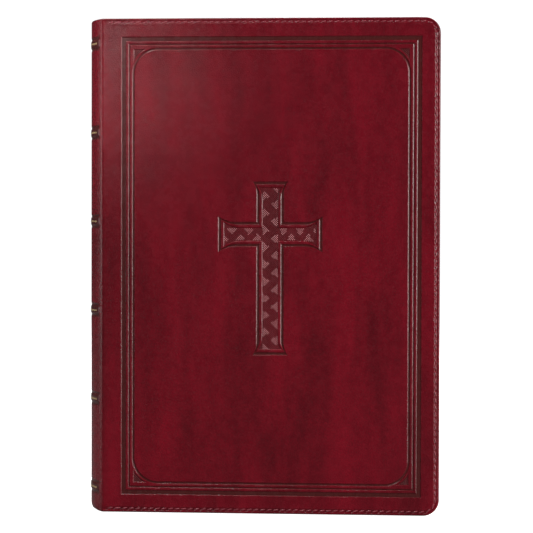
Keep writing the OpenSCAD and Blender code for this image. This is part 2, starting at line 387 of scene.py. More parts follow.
# Distances run along the outer face from the middle of the spine: round the spine's arc, over
# a small shoulder behind the hinge line, then flat to the fore-edge
shoulderR = 3.0
shoulderA = math.asin((halfT - shoulderR) / (spineR - shoulderR))
shoulderX = spineX - (spineR - shoulderR) * math.cos(shoulderA)
arcLength = spineR * shoulderA
flatLength = arcLength + shoulderR * (math.pi / 2 - shoulderA)
seamX = hingeX + 2.5
seamLength = flatLength + seamX - shoulderX

leatherShape = {
    "spineT": 1.0,
    "foldT": 1.8,  # where it is turned over at head and tail
    "edgeRound": 1.05,
    # the sunk rim, outside the step where the panel's padding starts
    "rimDrop": 0.32, "stepIn": 1.95, "stepWidth": 0.95,
    # the crease outside the stitches, their groove, and the ridge inside them
    "creaseIn": 1.36, "creaseDepth": 0.3, "stitchIn": 2.1, "grooveDepth": 0.1, "ridgeIn": 2.95, "ridge": 0.06,
    # how the leather puckers once at every stitch
    "stitchPitch": 3.3, "pucker": 0.09, "sway": 0.12, "ridgeSway": 0.14,
    # the raised bands, with a blind line and a dark stretch beside them
    "bandReach": 19.0, "bandShow": 0.2, "bandHalf": 2.0, "blindIn": 2.6, "blindGroove": 0.22, "darkIn": 3.9,
}
turnIn = 0.9  # how far from the edge the leather has finished turning inwards
rimInsets = [0, 0.12, 0.35, 0.7, 1.0, 1.18, 1.36, 1.56, 1.8, 2.1, 2.4, 2.7, 3.0, 3.4, 4.1, 5.0]


def aroundSpine(s):
    if s <= arcLength:
        a = s / spineR
        return spineX - spineR * math.cos(a), -spineR * math.sin(a), math.cos(a), math.sin(a)
    if s <= flatLength:
        a = shoulderA + (s - arcLength) / shoulderR
        return (
            shoulderX - shoulderR * math.cos(a), shoulderR - halfT - shoulderR * math.sin(a),
            math.cos(a), math.sin(a),
        )
    return shoulderX + s - flatLength, -halfT, 0.0, 1.0


def leatherPoint(s, depth, z):
    back = -1 if s < 0 else 1
    x, y, nx, ny = aroundSpine(abs(s))
    return (x + nx * depth, back * (y + ny * depth), z)


def endGap(z):
    return min(z, height - z)


def roundDrop(d):
    reach = leatherShape["edgeRound"]
    return 0.8 * (1 - math.sqrt(max(0.0, 1 - (1 - d / reach) ** 2))) if d < reach else 0.0


# How much the spine leather stands out over a band, or sinks in the blind lines beside it
def bandLift(s, z):
    shape = leatherShape
    fade = 1 - smooth((abs(s) - shape["bandReach"]) / 1.8)
    near = min(abs(z - b) for b in bandHeights)
    rise = shape["bandShow"] * smooth((shape["bandHalf"] - near) / 0.6)
    line = shape["blindGroove"] * bump((near - shape["blindIn"]) / 1.1)
    return (rise - line) * fade, fade * smooth((shape["darkIn"] - near) / 0.8)


# How deep the outer face lies at a distance d from the edge, under the book's full outline
def outerDepth(s, d, pucker=0.0):
    shape = leatherShape
    rim = smooth((abs(s) - arcLength) / (seamLength - arcLength))
    sway, extra = shape["sway"] * pucker, shape["pucker"] * pucker
    step = shape["rimDrop"] * (1 - smooth((d - shape["stepIn"] - sway) / shape["stepWidth"]))
    groove = shape["grooveDepth"] * bump((d - shape["stitchIn"]) / 0.6)
    crease = (shape["creaseDepth"] + extra) * bump((d - shape["creaseIn"] + sway) / 0.45)
    ridge = (shape["ridge"] + extra) * bump((d - shape["ridgeIn"] - shape["ridgeSway"] * pucker) / 0.55)
    return roundDrop(d) + rim * (step + groove + crease - ridge)


def innerDepth(x, d, atEdge):
    shape = leatherShape
    fold = shape["foldT"] - (shape["foldT"] - shape["spineT"]) * smooth((d - 0.95) / 0.25)
    grown = smooth((x - seamX) / (book["coverX0"] + 0.8 - seamX))
    base = fold + (book["coverT"] - fold) * grown
    if d >= turnIn:
        return base
    return base - (base - atEdge) * (1 - math.sqrt(max(0.0, 1 - (1 - d / turnIn) ** 2)))


# Rows shared by spine, joints and cover borders, so that their seams meet point to point
bandRows = [-3.9, -3.5, -3.1, -2.75, -2.4, -2.1, -1.8, -1.45, -1.0, -0.4]
rows = set(rimInsets) | {height - d for d in rimInsets}
for b in bandHeights:
    rows |= {b + o for o in bandRows} | {b - o for o in bandRows}
stops = sorted(rows)
for low, high in zip(stops, stops[1:]):
    parts = math.ceil((high - low) / 3.2)
    rows |= {low + (high - low) * k / parts for k in range(1, parts)}
rowHeights = sorted(rows)


# A shell of leather between two distances from the middle of the spine
def leatherShell(name, lengths):
    outer, inner, outerPlace, innerPlace, tooled = [], [], [], [], []
    for z in rowHeights:
        d = endGap(z)
        for s in lengths:
            lift, dark = bandLift(s, z)
            tuck = (1.1 if z < height / 2 else 0.0) * max(0.0, 1 - d / 3.2) ** 2
            tuck *= 1 - smooth((abs(s) - 12) / (arcLength - 12))
            depth = outerDepth(s, d) - lift + tuck
            below = innerDepth(-1e3, d, outerDepth(s, 0) + 0.3) + tuck - max(0.0, lift)
            outer.append(leatherPoint(s, depth, z))
            inner.append(leatherPoint(s, below, z))
            outerPlace.append((s, depth, z))
            innerPlace.append((s, below + 3, z))
            tooled.append(dark)
    points = outer + inner
    return makePiece(
        name, points, shellFaces(len(rowHeights), len(lengths)), leather,
        {"tooled": tooled + [0.0] * len(inner)}, {"place": outerPlace + innerPlace},
    )


spineColumns = 72
spineLeather = leatherShell(
    "spineLeather", [arcLength * (2 * k / spineColumns - 1) for k in range(spineColumns + 1)]
)
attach(spineLeather, "spine")
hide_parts("spine_leather")

jointColumns = 10
jointLengths = [arcLength + (seamLength - arcLength) * k / jointColumns for k in range(jointColumns + 1)]
for word, back in (("front", 1), ("back", -1)):
    joint = leatherShell(word + "JointLeather", [back * s for s in jointLengths])
    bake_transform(joint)
    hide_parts(word + "_hinge_leather")
print("spine and joint leather made")

# The pressed frame, its corner pieces and the cross. The wall rows give a distance into the
# groove, the share of its depth there and how scorched the leather is
tooling = {
    "frameIn": 9.3, "broad": (0, 2.5), "thin": (3.5, 4.5), "round": (5.5, 6.8), "roundR": 13,
    "shiftX": 0.24, "shiftLow": -0.32, "shiftHigh": 0.08,  # the frame isn't pressed quite in the middle
    "spandrelIn": 6.2, "spandrelGap": 0.6, "depth": 0.3,
    "wall": ((-0.1, 0.0, 0.0), (0.14, 0.5, 0.25), (0.38, 1.0, 1.0)),
    "crossUp": 26.4, "crossDown": 60.4, "crossAcross": 26.1, "crossFoot": 79.6,
    "uprightHalf": 6.85, "armHalf": 6.25, "flareHalf": 8.9, "uprightFlare": 6, "armFlare": 8,
    "outline": 1.6, "field": 2.7,
}
crossX = (hingeX + edgeX) / 2
crossZ = tooling["crossFoot"] + tooling["crossDown"]
frameBox = (
    hingeX + tooling["frameIn"] + tooling["shiftX"], tooling["frameIn"] + tooling["shiftLow"],
    edgeX - tooling["frameIn"] + tooling["shiftX"], height - tooling["frameIn"] + tooling["shiftHigh"],
)
corners = ((-1, -1), (1, -1), (1, 1), (-1, 1))


def subdivide(loop, step=3.0):
    out = []
    for (x0, z0), (x1, z1) in zip(loop, loop[1:] + loop[:1]):
        parts = max(1, math.ceil(math.hypot(x1 - x0, z1 - z0) / step))
        out += [(x0 + (x1 - x0) * k / parts, z0 + (z1 - z0) * k / parts) for k in range(parts)]
    return out


def frameLoop(inset, r=0.0):
    x0, z0, x1, z1 = frameBox[0] + inset, frameBox[1] + inset, frameBox[2] - inset, frameBox[3] - inset
    if r <= 0:
        return subdivide([(x0, z0), (x1, z0), (x1, z1), (x0, z1)])
    loop = []
    turns = ((x1 - r, z0 + r, -90), (x1 - r, z1 - r, 0), (x0 + r, z1 - r, 90), (x0 + r, z0 + r, 180))
    for cx, cz, turn in turns:
        for k in range(17):
            a = math.radians(turn + 90 * k / 16)
            loop.append((cx + r * math.cos(a), cz + r * math.sin(a)))
    return subdivide(loop)


def spandrelLoop(corner, offset):
    sx, sz = corner
    inset = tooling["spandrelIn"] + offset
    x = (frameBox[0] + inset) if sx < 0 else (frameBox[2] - inset)
    z = (frameBox[1] + inset) if sz < 0 else (frameBox[3] - inset)
    r = tooling["roundR"] + tooling["spandrelGap"] + offset
    reach = tooling["round"][0] + tooling["roundR"] - inset
    start = math.asin(min(1.0, reach / r))
    arc = []
    for k in range(11):
        a = start + (math.pi / 2 - 2 * start) * k / 10
        arc.append((x - sx * (reach - r * math.sin(a)), z - sz * (reach - r * math.cos(a))))
    return subdivide([(x, z)] + arc, 1.6)


def crossLoop(inset):
    t = tooling

    def arm(length, mid, flare):
        steps = 7
        points = []
        for k in range(steps + 1):
            far = flare * k / steps
            flared = (t["flareHalf"] - mid) * (1 - far / flare) ** 2
            points.append((mid - inset + flared, length - inset - far))
        return points

    up = arm(t["crossUp"], t["uprightHalf"], t["uprightFlare"])
    down = arm(t["crossDown"], t["uprightHalf"], t["uprightFlare"])
    out = arm(t["crossAcross"], t["armHalf"], t["armFlare"])
    crotch = (t["uprightHalf"] - inset, t["armHalf"] - inset)
    quarters = [
        [(w, l) for w, l in up] + [crotch] + [(l, w) for w, l in reversed(out)],
        [(l, -w) for w, l in out] + [(crotch[0], -crotch[1])] + [(w, -l) for w, l in reversed(down)],
        [(-w, -l) for w, l in down] + [(-crotch[0], -crotch[1])] + [(-l, -w) for w, l in reversed(out)],
        [(-l, w) for w, l in out] + [(-crotch[0], crotch[1])] + [(-w, l) for w, l in reversed(up)],
    ]
    loop = [(crossX + x, crossZ + z) for quarter in quarters for x, z in quarter]
    return subdivide(loop, 2.4)


# Each pressed outline: how scorched its floor is, and its line at a distance inside the groove
def pressedOutlines(withCross):
    t = tooling
    outlines = []
    for low, high in (t["broad"], t["thin"]):
        outlines.append((1.0, lambda o, low=low: frameLoop(low + o)))
        outlines.append((1.0, lambda o, high=high: frameLoop(high - o)))
    low, high = t["round"]
    outlines += [
        (1.0, lambda o: frameLoop(low + o, t["roundR"] - o)),
        (1.0, lambda o: frameLoop(high - o, t["roundR"] - (high - low) + o)),
    ]
    for corner in corners:
        outlines.append((0.8, lambda o, corner=corner: spandrelLoop(corner, o)))
    if withCross:
        outlines += [
            (1.0, lambda o: crossLoop(o)), (1.0, lambda o: crossLoop(t["outline"] - o)),
            (0.25, lambda o: crossLoop(t["field"] + o)),
        ]
    return outlines


# Whether a spot is so close to the tooling that a loose mesh point would spoil its lines
def nearTooling(x, z, withCross):
    inset = min(x - frameBox[0], frameBox[2] - x, z - frameBox[1], frameBox[3] - z)
    if -1.6 < inset < 8.4:
        return True
    reach = tooling["round"][0] + tooling["roundR"]
    cx = min(max(x, frameBox[0] + reach), frameBox[2] - reach)
    cz = min(max(z, frameBox[1] + reach), frameBox[3] - reach)
    if inset > 0 and math.hypot(x - cx, z - cz) > tooling["roundR"] - 3:
        return True
    dx, dz = abs(x - crossX), z - crossZ
    upright = dx < 10.6 and -tooling["crossDown"] - 1.8 < dz < tooling["crossUp"] + 1.8
    arms = dx < tooling["crossAcross"] + 1.8 and abs(dz) < 10.6
    return withCross and (upright or arms)


# Outline of a cover, its mesh steps, and the pocket that holds its card and pastedown
coverShape = {
    "cornerR": 8.0, "rimStep": 0.8, "cornerSteps": 16, "fieldStep": 4.0, "softness": 0.22,
    "pocketIn": 16.0, "pocketX": book["coverX0"] + 8.5, "boardIn": 4.0, "boardX": book["coverX0"] + 2.5,
    "pocketFloor": 1.0, "boardTop": 2.2,
}


# A line at one inset, from the joint along the tail, round the fore-edge and back along the head
def rimPath(inset):
    shape = coverShape
    r = max(0.4, shape["cornerR"] - inset)
    cx = edgeX - shape["cornerR"]
    c0, c1 = shape["cornerR"], height - shape["cornerR"]
    along = round((cx - seamX) / shape["rimStep"])
    upward = round((c1 - c0) / shape["rimStep"])
    turns = shape["cornerSteps"]
    path = [(seamX + (cx - seamX) * k / along, inset) for k in range(along)]
    path += [(cx + r * math.sin(math.pi / 2 * k / turns), c0 - r * math.cos(math.pi / 2 * k / turns))
             for k in range(turns)]
    path += [(cx + r, c0 + (c1 - c0) * k / upward) for k in range(upward)]
    path += [(cx + r * math.cos(math.pi / 2 * k / turns), c1 + r * math.sin(math.pi / 2 * k / turns))
             for k in range(turns)]
    path += [(cx + (seamX - cx) * k / along, height - inset) for k in range(along + 1)]
    return path


def pocketLoop(inset, x0):
    r = max(0.6, coverShape["cornerR"] - inset)
    x1, z0, z1 = edgeX - inset, inset, height - inset
    loop = [(x0, z0)]
    for cx, cz, turn in ((x1 - r, z0 + r, -90), (x1 - r, z1 - r, 0)):
        for k in range(7):
            a = math.radians(turn + 90 * k / 6)
            loop.append((cx + r * math.cos(a), cz + r * math.sin(a)))
    return loop + [(x0, z1)]


# Gentle swelling of the padded panel, still at its borders
def softness(x, z, turn):
    inset = min(edgeX - x, z, height - z)
    fade = smooth((inset - 5) / 9) * smooth((x - seamX - 1.0) / 12)
    where = Vector((x / 34, z / 48, 7.3 * turn))
    return coverShape["softness"] * fade * noise.noise(where) * 1.6


# A flat mesh inside closed loops that keeps each loop and each loose spot as its own points
def fillFlat(loops, spots, hole=None):
    flat, edges = [], []
    for loop in loops:
        first, count = len(flat), len(loop)
        flat += [Vector(p) for p in loop]
        edges += [(first + k, first + (k + 1) % count) for k in range(count)]
    flat += [Vector(p) for p in spots]
    verts, _, faces, origins, _, _ = delaunay_2d_cdt(flat, edges, [], 1, 1e-5, True)
    keep = []
    for face in faces:
        cx = sum(verts[i].x for i in face) / len(face)
        cz = sum(verts[i].y for i in face) / len(face)
        if not (hole and hole[0] < cx < hole[2] and hole[1] < cz < hole[3]):
            keep.append(tuple(face))
    return verts, keep, origins


# Indices of a flat mesh's points: those of a known border are used again, the others are new
def matchPoints(verts, origins, known, fresh):
    index = []
    for v, origin in zip(verts, origins):
        source = min(origin) if origin else None
        index.append(known[source] if source in known else fresh(v.x, v.y, source))
    return index


def ringFaces(rings, closed=False):
    faces = []
    for a, b in zip(rings, rings[1:]):
        count = len(a)
        for k in range(count if closed else count - 1):
            n = (k + 1) % count
            faces.append((a[k], a[n], b[n], b[k]))
    return faces


def rowsBetween(inset):
    return [z for z in rowHeights if inset + 1e-6 < z < height - inset - 1e-6]


# Loose points in staggered rows, so that the panel's swelling has a mesh to bend
def fieldSpots(withCross):
    step = coverShape["fieldStep"]
    spots = []
    x, row = seamX + 2.0, 0
    while x < edgeX - 6.5:
        z = 8.0 + (row % 2) * step / 2
        while z < height - 7:
            if not nearTooling(x, z, withCross):
                spots.append((x, z))
            z += step
        x += step * 0.87
        row += 1
    return spots


def coverLeather(word, turn, withCross):
    points, places, tooled = [], [], []

    def add(x, depth, z, dark=0.0, under=0.0):
        s = flatLength + x - shoulderX
        points.append(leatherPoint(turn * s, depth, z))
        places.append((turn * s, depth + under, z))
        tooled.append(dark)
        return len(points) - 1

    def addInner(x, z, inset, atEdge=1.0):
        return add(x, innerDepth(x, inset, atEdge), z, 0.0, 3.0)

    def lengthAt(x):
        return max(seamLength, flatLength + x - shoulderX)

    stitchPath = rimPath(leatherShape["stitchIn"])
    travelled = [0.0]
    for (x0, z0), (x1, z1) in zip(stitchPath, stitchPath[1:]):
        travelled.append(travelled[-1] + math.hypot(x1 - x0, z1 - z0))
    rim = []
    for inset in rimInsets:
        ring = []
        for t, (x, z) in zip(travelled, rimPath(inset)):
            wave = smooth((x - seamX) / 3) * math.cos(2 * math.pi * t / leatherShape["stitchPitch"])
            ring.append(add(x, outerDepth(lengthAt(x), inset, wave), z))
        rim.append(ring)
    faces = ringFaces(rim)

    # The panel inside the rim, with every pressed outline as edges of its mesh
    leftSide = [(seamX, z) for z in reversed(rowsBetween(rimInsets[-1]))]
    leftIndex = [add(x, outerDepth(seamLength, endGap(z)), z) for x, z in leftSide]
    loops = [rimPath(rimInsets[-1]) + leftSide]
    depths = [None] * len(loops[0])
    for scorch, outline in pressedOutlines(withCross):
        for offset, share, dark in tooling["wall"]:
            loops.append(outline(offset))
            depths += [(share * tooling["depth"], dark * scorch)] * len(loops[-1])
    spots = fieldSpots(withCross)
    depths += [(0.0, 0.0)] * len(spots)

    def addPanel(x, z, source):
        depth, dark = (0.0, 0.0) if source is None else depths[source]
        return add(x, depth + softness(x, z, turn), z, dark)

    verts, flatFaces, origins = fillFlat(loops, spots)
    index = matchPoints(verts, origins, dict(enumerate(rim[-1] + leftIndex)), addPanel)
    faces += [tuple(index[i] for i in face) for face in flatFaces]

    # Round the edge to the turn-in, then the pocket that holds card and pastedown
    under = [
        [addInner(x, z, inset, outerDepth(lengthAt(x), 0) + 0.25) for x, z in rimPath(inset)]
        for inset in (0, 0.15, 0.4, turnIn)
    ]
    faces += ringFaces([rim[0]] + under)
    innerRows = rowsBetween(turnIn)
    innerLeft = [addInner(seamX, z, endGap(z)) for z in innerRows]
    shape = coverShape
    inset, left = shape["pocketIn"] - 0.3, shape["pocketX"] - 0.3
    pocket = [
        (inset, left, book["coverT"]),
        (shape["pocketIn"], shape["pocketX"], book["coverT"] - 0.15),
        (shape["pocketIn"], shape["pocketX"], shape["boardTop"]),
        (shape["boardIn"], shape["boardX"], shape["boardTop"]),
        (shape["boardIn"], shape["boardX"], shape["pocketFloor"]),
    ]
    rings = [[add(x, depth, z, 0.0, 3.0) for x, z in pocketLoop(d, x0)] for d, x0, depth in pocket]
    faces += ringFaces(rings, closed=True) + [tuple(rings[-1])]
    columns = [seamX + 0.9, seamX + 1.6] + [book["coverX0"] + dx for dx in (-0.4, 0.2, 0.9)]
    verts, flatFaces, origins = fillFlat(
        [rimPath(turnIn) + [(seamX, z) for z in reversed(innerRows)], pocketLoop(inset, left)],
        [(x, z) for x in columns for z in innerRows[1:-1]],
        (left, inset, edgeX - inset, height - inset),
    )
    known = dict(enumerate(under[-1] + innerLeft[::-1] + rings[0]))
    index = matchPoints(verts, origins, known, lambda x, z, source: addInner(x, z, endGap(z)))
    faces += [tuple(index[i] for i in face) for face in flatFaces]

    # Close the border that meets the joint, row by row
    outerBorder = [ring[0] for ring in rim] + leftIndex[::-1] + [ring[-1] for ring in reversed(rim)]
    innerBorder = [ring[0] for ring in under] + innerLeft + [ring[-1] for ring in reversed(under)]
    faces.append(tuple(outerBorder + innerBorder[::-1]))
    piece = makePiece(
        word + "CoverLeather", points, faces, leather, {"tooled": tooled}, {"place": places}, 30
    )
    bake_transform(piece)
    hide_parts(word + "_cover_leather")


coverLeather("front", 1, True)
coverLeather("back", -1, False)
print("covers made")

# A geometry nodes tree with named inputs, and the sockets that carry them
def newTree(name, floats, vectors=()):
    tree = bpy.data.node_groups.new(name, "GeometryNodeTree")
    kinds = {"Geometry": "NodeSocketGeometry"}
    kinds.update({key: "NodeSocketFloat" for key in floats})
    kinds.update({key: "NodeSocketVector" for key in vectors})
    for key, kind in kinds.items():
        tree.interface.new_socket(key, in_out="INPUT", socket_type=kind)
    tree.interface.new_socket("Geometry", in_out="OUTPUT", socket_type="NodeSocketGeometry")
    return tree, addNode(tree, "NodeGroupInput").outputs


def spacedLine(tree, given):
    line = addNode(tree, "GeometryNodeMeshToCurve", {}, {0: given["Geometry"]})
    return addNode(
        tree, "GeometryNodeResampleCurve", {"mode": "LENGTH"},
        {"Curve": line.outputs[0], "Length": given["Pitch"]},
    ).outputs[0]


def facing(tree, direction):
    return addNode(tree, "FunctionNodeAlignRotationToVector", {"axis": "Z"}, {"Vector": direction}).outputs[0]


def circle(tree, resolution, radius):
    return addNode(
        tree, "GeometryNodeCurvePrimitiveCircle", {}, {"Resolution": resolution, "Radius": radius}
    ).outputs[0]


def finishTree(tree, points, shape, rotation, material):
    copies = addNode(
        tree, "GeometryNodeInstanceOnPoints", {}, {"Points": points, "Instance": shape, "Rotation": rotation}
    )
    real = addNode(tree, "GeometryNodeRealizeInstances", {}, {0: copies.outputs[0]})
    painted = addNode(
        tree, "GeometryNodeSetMaterial", {}, {"Geometry": real.outputs[0], "Material": material}
    )
    addNode(tree, "NodeGroupOutput", {}, {0: painted.outputs[0]})
    return tree


# Runs a tree on a few points or a line, and returns the result as a plain mesh
def grow(name, points, edges, tree, settings):
    mesh = bpy.data.meshes.new(name + "Base")
    mesh.from_pydata([Vector(p) * mm for p in points], edges, [])
    base = bpy.data.objects.new(name + "Base", mesh)
    bpy.context.scene.collection.objects.link(base)
    modifier = base.modifiers.new("grow", "NODES")
    modifier.node_group = tree
    sockets = {s.name: s.identifier for s in tree.interface.items_tree if s.in_out == "INPUT"}
    for key, value in settings.items():
        modifier[sockets[key]] = value
    evaluated = base.evaluated_get(bpy.context.evaluated_depsgraph_get())
    result = bpy.data.meshes.new_from_object(evaluated)
    result.name = name
    bpy.data.objects.remove(base)
    piece = bpy.data.objects.new(name, result)
    bpy.context.scene.collection.objects.link(piece)
    return piece


# One slanted, bowed stitch at every pitch along a line; its ends dive into the leather
stitchSize = {"length": 2.4, "thread": 0.6, "bow": 0.3, "slant": 17.0}


def makeStitchTree():
    tree, given = newTree(
        "edgeStitches", ["Pitch", "Half length", "Thread radius", "Bow", "Slant"], ["Outwards"]
    )
    tangent = addNode(tree, "GeometryNodeInputTangent")
    along = addNode(
        tree, "FunctionNodeAlignRotationToVector", {"axis": "X", "pivot_axis": "Z"},
        {"Rotation": facing(tree, given["Outwards"]), "Vector": tangent.outputs[0]},
    )
    lean = addNode(tree, "ShaderNodeCombineXYZ", {}, {"Z": given["Slant"]})
    leaning = addNode(tree, "FunctionNodeEulerToRotation", {}, {0: lean.outputs[0]})
    turned = addNode(
        tree, "FunctionNodeRotateRotation", {"rotation_space": "LOCAL"},
        {"Rotation": along.outputs[0], "Rotate By": leaning.outputs[0]},
    )
    sunk = calc(tree, "MULTIPLY", given["Bow"], -1.0)
    start, end = [
        addNode(tree, "ShaderNodeCombineXYZ", {}, {"X": x, "Z": sunk}).outputs[0]
        for x in (calc(tree, "MULTIPLY", given["Half length"], -1.0), given["Half length"])
    ]
    top = addNode(tree, "ShaderNodeCombineXYZ", {}, {"Z": given["Bow"]})
    bow = addNode(
        tree, "GeometryNodeCurveQuadraticBezier", {},
        {"Resolution": 6, "Start": start, "Middle": top.outputs[0], "End": end},
    )
    thread = addNode(
        tree, "GeometryNodeCurveToMesh", {},
        {"Curve": bow.outputs[0], "Profile Curve": circle(tree, 8, given["Thread radius"]),
         "Fill Caps": True},
    )
    return finishTree(
        tree, spacedLine(tree, given), thread.outputs[0], turned.outputs[0], made["polyesterThreadTwisted"]
    )


stitchTree = makeStitchTree()
stitchDepth = outerDepth(seamLength + 5, leatherShape["stitchIn"]) - 0.22
for word, back in (("front", 1), ("back", -1)):
    path = rimPath(leatherShape["stitchIn"])
    rides = [(x, -back * (halfT - stitchDepth), z) for x, z in path if x > hingeX + 8]
    links = [(k, k + 1) for k in range(len(rides) - 1)]
    settings = {
        "Pitch": leatherShape["stitchPitch"] * mm, "Half length": stitchSize["length"] / 2 * mm,
        "Thread radius": stitchSize["thread"] / 2 * mm, "Bow": stitchSize["bow"] * mm,
        "Slant": math.radians(stitchSize["slant"]), "Outwards": (0.0, -float(back), 0.0),
    }
    stitches = grow(word + "Stitches", rides, links, stitchTree, settings)
    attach(stitches, word + "_cover")
    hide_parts(word + "_cover_stitching")
    for end, z in (("Tail", leatherShape["stitchIn"]), ("Head", height - leatherShape["stitchIn"])):
        short = [(x, -back * (halfT - stitchDepth), z) for x in (hingeX + 4.0, hingeX + 7.2)]
        few = grow(word + end + "JointStitches", short, [(0, 1)], stitchTree, settings)
        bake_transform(few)
print("stitches made")

# Little four-sided points pressed over the cross's field and the corner pieces. The higher ones,
# pale with a painted highlight, stand in triangles along both edges of the field; too fine to draw
# at their true spacing of about 0.5 mm, so they stand a little wider apart
hatch = {"pitch": 1.08, "width": 0.62, "low": 0.1, "high": 0.2, "triangle": 5.6, "reach": 3.3, "step": 8.5}


def makeHatchTree(name, material):
    tree, given = newTree(name, ["Width", "Height"], ["Outwards"])
    half, tip = (calc(tree, "MULTIPLY", given["Width"], share) for share in (0.5, 0.24))
    point = addNode(
        tree, "GeometryNodeMeshCone", {},
        {"Vertices": 4, "Radius Top": tip, "Radius Bottom": half, "Depth": given["Height"]},
    )
    return finishTree(tree, given["Geometry"], point.outputs[0], facing(tree, given["Outwards"]), material)


# the higher points get the pale finish, a painted highlight on their tips
hatchTrees = {
    "Low": makeHatchTree("hatchScorched", made["leatherHatchScorched"]),
    "High": makeHatchTree("hatchPaintedHighlight", made["leatherHatchPaintedHighlight"]),
}


def insideLoop(x, z, loop):
    inside = False
    for (x0, z0), (x1, z1) in zip(loop, loop[1:] + loop[:1]):
        if (z0 > z) != (z1 > z) and x < x0 + (z - z0) / (z1 - z0) * (x1 - x0):
            inside = not inside
    return inside


# Triangles on both edges of each arm: across is the distance from the arm's middle line
def inTriangle(along, across, halfWidth):
    for sign, shift in ((-1, 0.5), (1, 0.0)):
        depthIn = halfWidth + sign * across
        place = (along / hatch["step"] + shift + 0.25) % 1.0 - 0.5
        room = hatch["triangle"] / 2 * (1 - depthIn / (hatch["reach"] + 0.9))
        if 0.3 <= depthIn < hatch["reach"] + 0.4 and abs(place) * hatch["step"] < room:
            return True
    return False


def hatchPoints(loop, patterned):
    xs, zs = [p[0] for p in loop], [p[1] for p in loop]
    low, high = [], []
    step = hatch["pitch"] / 2
    for i in range(int((max(xs) - min(xs)) / step) + 1):
        for j in range(int((max(zs) - min(zs)) / step) + 1):
            x, z = min(xs) + i * step, min(zs) + j * step
            if (i + j) % 2 or not insideLoop(x, z, loop):
                continue
            dx, dz = x - crossX, z - crossZ
            up = tooling["uprightHalf"] - tooling["field"]
            across = tooling["armHalf"] - tooling["field"]
            tall = patterned and (
                inTriangle(dz, dx, up) if abs(dx) < up + 0.8 else inTriangle(dx, dz, across)
            )
            (high if tall else low).append((x, z))
    return low, high


for word, back in (("front", 1), ("back", -1)):
    spots = {"Low": [], "High": []}
    for corner in corners:
        spots["Low"] += hatchPoints(spandrelLoop(corner, 0.55), False)[0]
    if word == "front":
        low, high = hatchPoints(crossLoop(tooling["field"] + 0.5), True)
        spots["Low"] += low
        spots["High"] += high
    for kind, flat in spots.items():
        if not flat:
            continue
        tall = hatch["high"] if kind == "High" else hatch["low"]
        ground = [(x, -back * (halfT - tooling["depth"] - softness(x, z, back) - 0.01), z) for x, z in flat]
        piece = grow(
            word + "Hatch" + kind, ground, [], hatchTrees[kind],
            {"Width": hatch["width"] * mm, "Height": tall * mm, "Outwards": (0.0, -float(back), 0.0)},
        )
        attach(piece, word + "_cover")
print("hatching made")

# Gilt lines on the bands, and a plain row of lozenges between two of them
gilding = {"line": 0.8, "thick": 0.06, "reach": 17.6, "lozenge": 3.4, "lozengeStep": 9.0, "columns": 60}


def gildedStrip(points, faces, lengths, heightAt, halfAt):
    first = len(points)
    for lift in (-0.05, gilding["thick"]):
        for s in lengths:
            z, half = heightAt(s), halfAt(s)
            for dz in (-half, half):
                depth = outerDepth(s, endGap(z)) - bandLift(s, z + dz)[0] - lift
                points.append(leatherPoint(s, depth, z + dz))
    count = len(lengths)
    for k in range(count - 1):
        a = first + 2 * k
        top = a + 2 * count
        faces += [(a, a + 1, a + 3, a + 2), (top, top + 2, top + 3, top + 1),
                  (a, a + 2, top + 2, top), (a + 1, top + 1, top + 3, a + 3)]
    for a in (first, first + 2 * count - 2):
        faces.append((a, a + 1, a + 1 + 2 * count, a + 2 * count))


points, faces = [], []
reach, columns = gilding["reach"], gilding["columns"]
lengths = [reach * (2 * k / columns - 1) for k in range(columns + 1)]
for z in bandHeights:
    tilt = -0.012 * (1 if z < height / 2 else 0.25)  # hand-set lines run slightly askew
    gildedStrip(points, faces, lengths, lambda s, z=z: z + tilt * s, lambda s: gilding["line"] / 2)
middle = bandHeights[-2] - bandStep / 2
half = gilding["lozenge"]
lozengeLengths = [half * (2 * k / 16 - 1) for k in range(17)]
for n in (-1, 0, 1):
    z = middle + n * gilding["lozengeStep"]
    gildedStrip(points, faces, lozengeLengths, lambda s, z=z: z, lambda s: max(0.04, half - abs(s)))
spineGilding = makePiece("spineGilding", points, faces, made["goldFoilStamped"])
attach(spineGilding, "spine")
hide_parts("spine_gilding")
print("gilding made")

leaves = {
    "perSection": 4, "sections": 3, "groups": 8, "bend": 26.0, "trim": 0.09, "groove": 0.11, "foldMin": 0.8,
    "backIn": 2.6,
}
leafLow, leafHigh = side("section_01", 0, 2), side("section_01", 1, 2)
leafWidth = side("section_01", 1, 0) - hingeX + leaves["foldMin"]
dice = random.Random(11)


def foreEdge(y):
    backR = spineR - leaves["backIn"]
    fold = max(leaves["foldMin"], math.sqrt(max(backR**2 - y * y, 0)) - (spineX - hingeX))
    return hingeX - fold + leafWidth


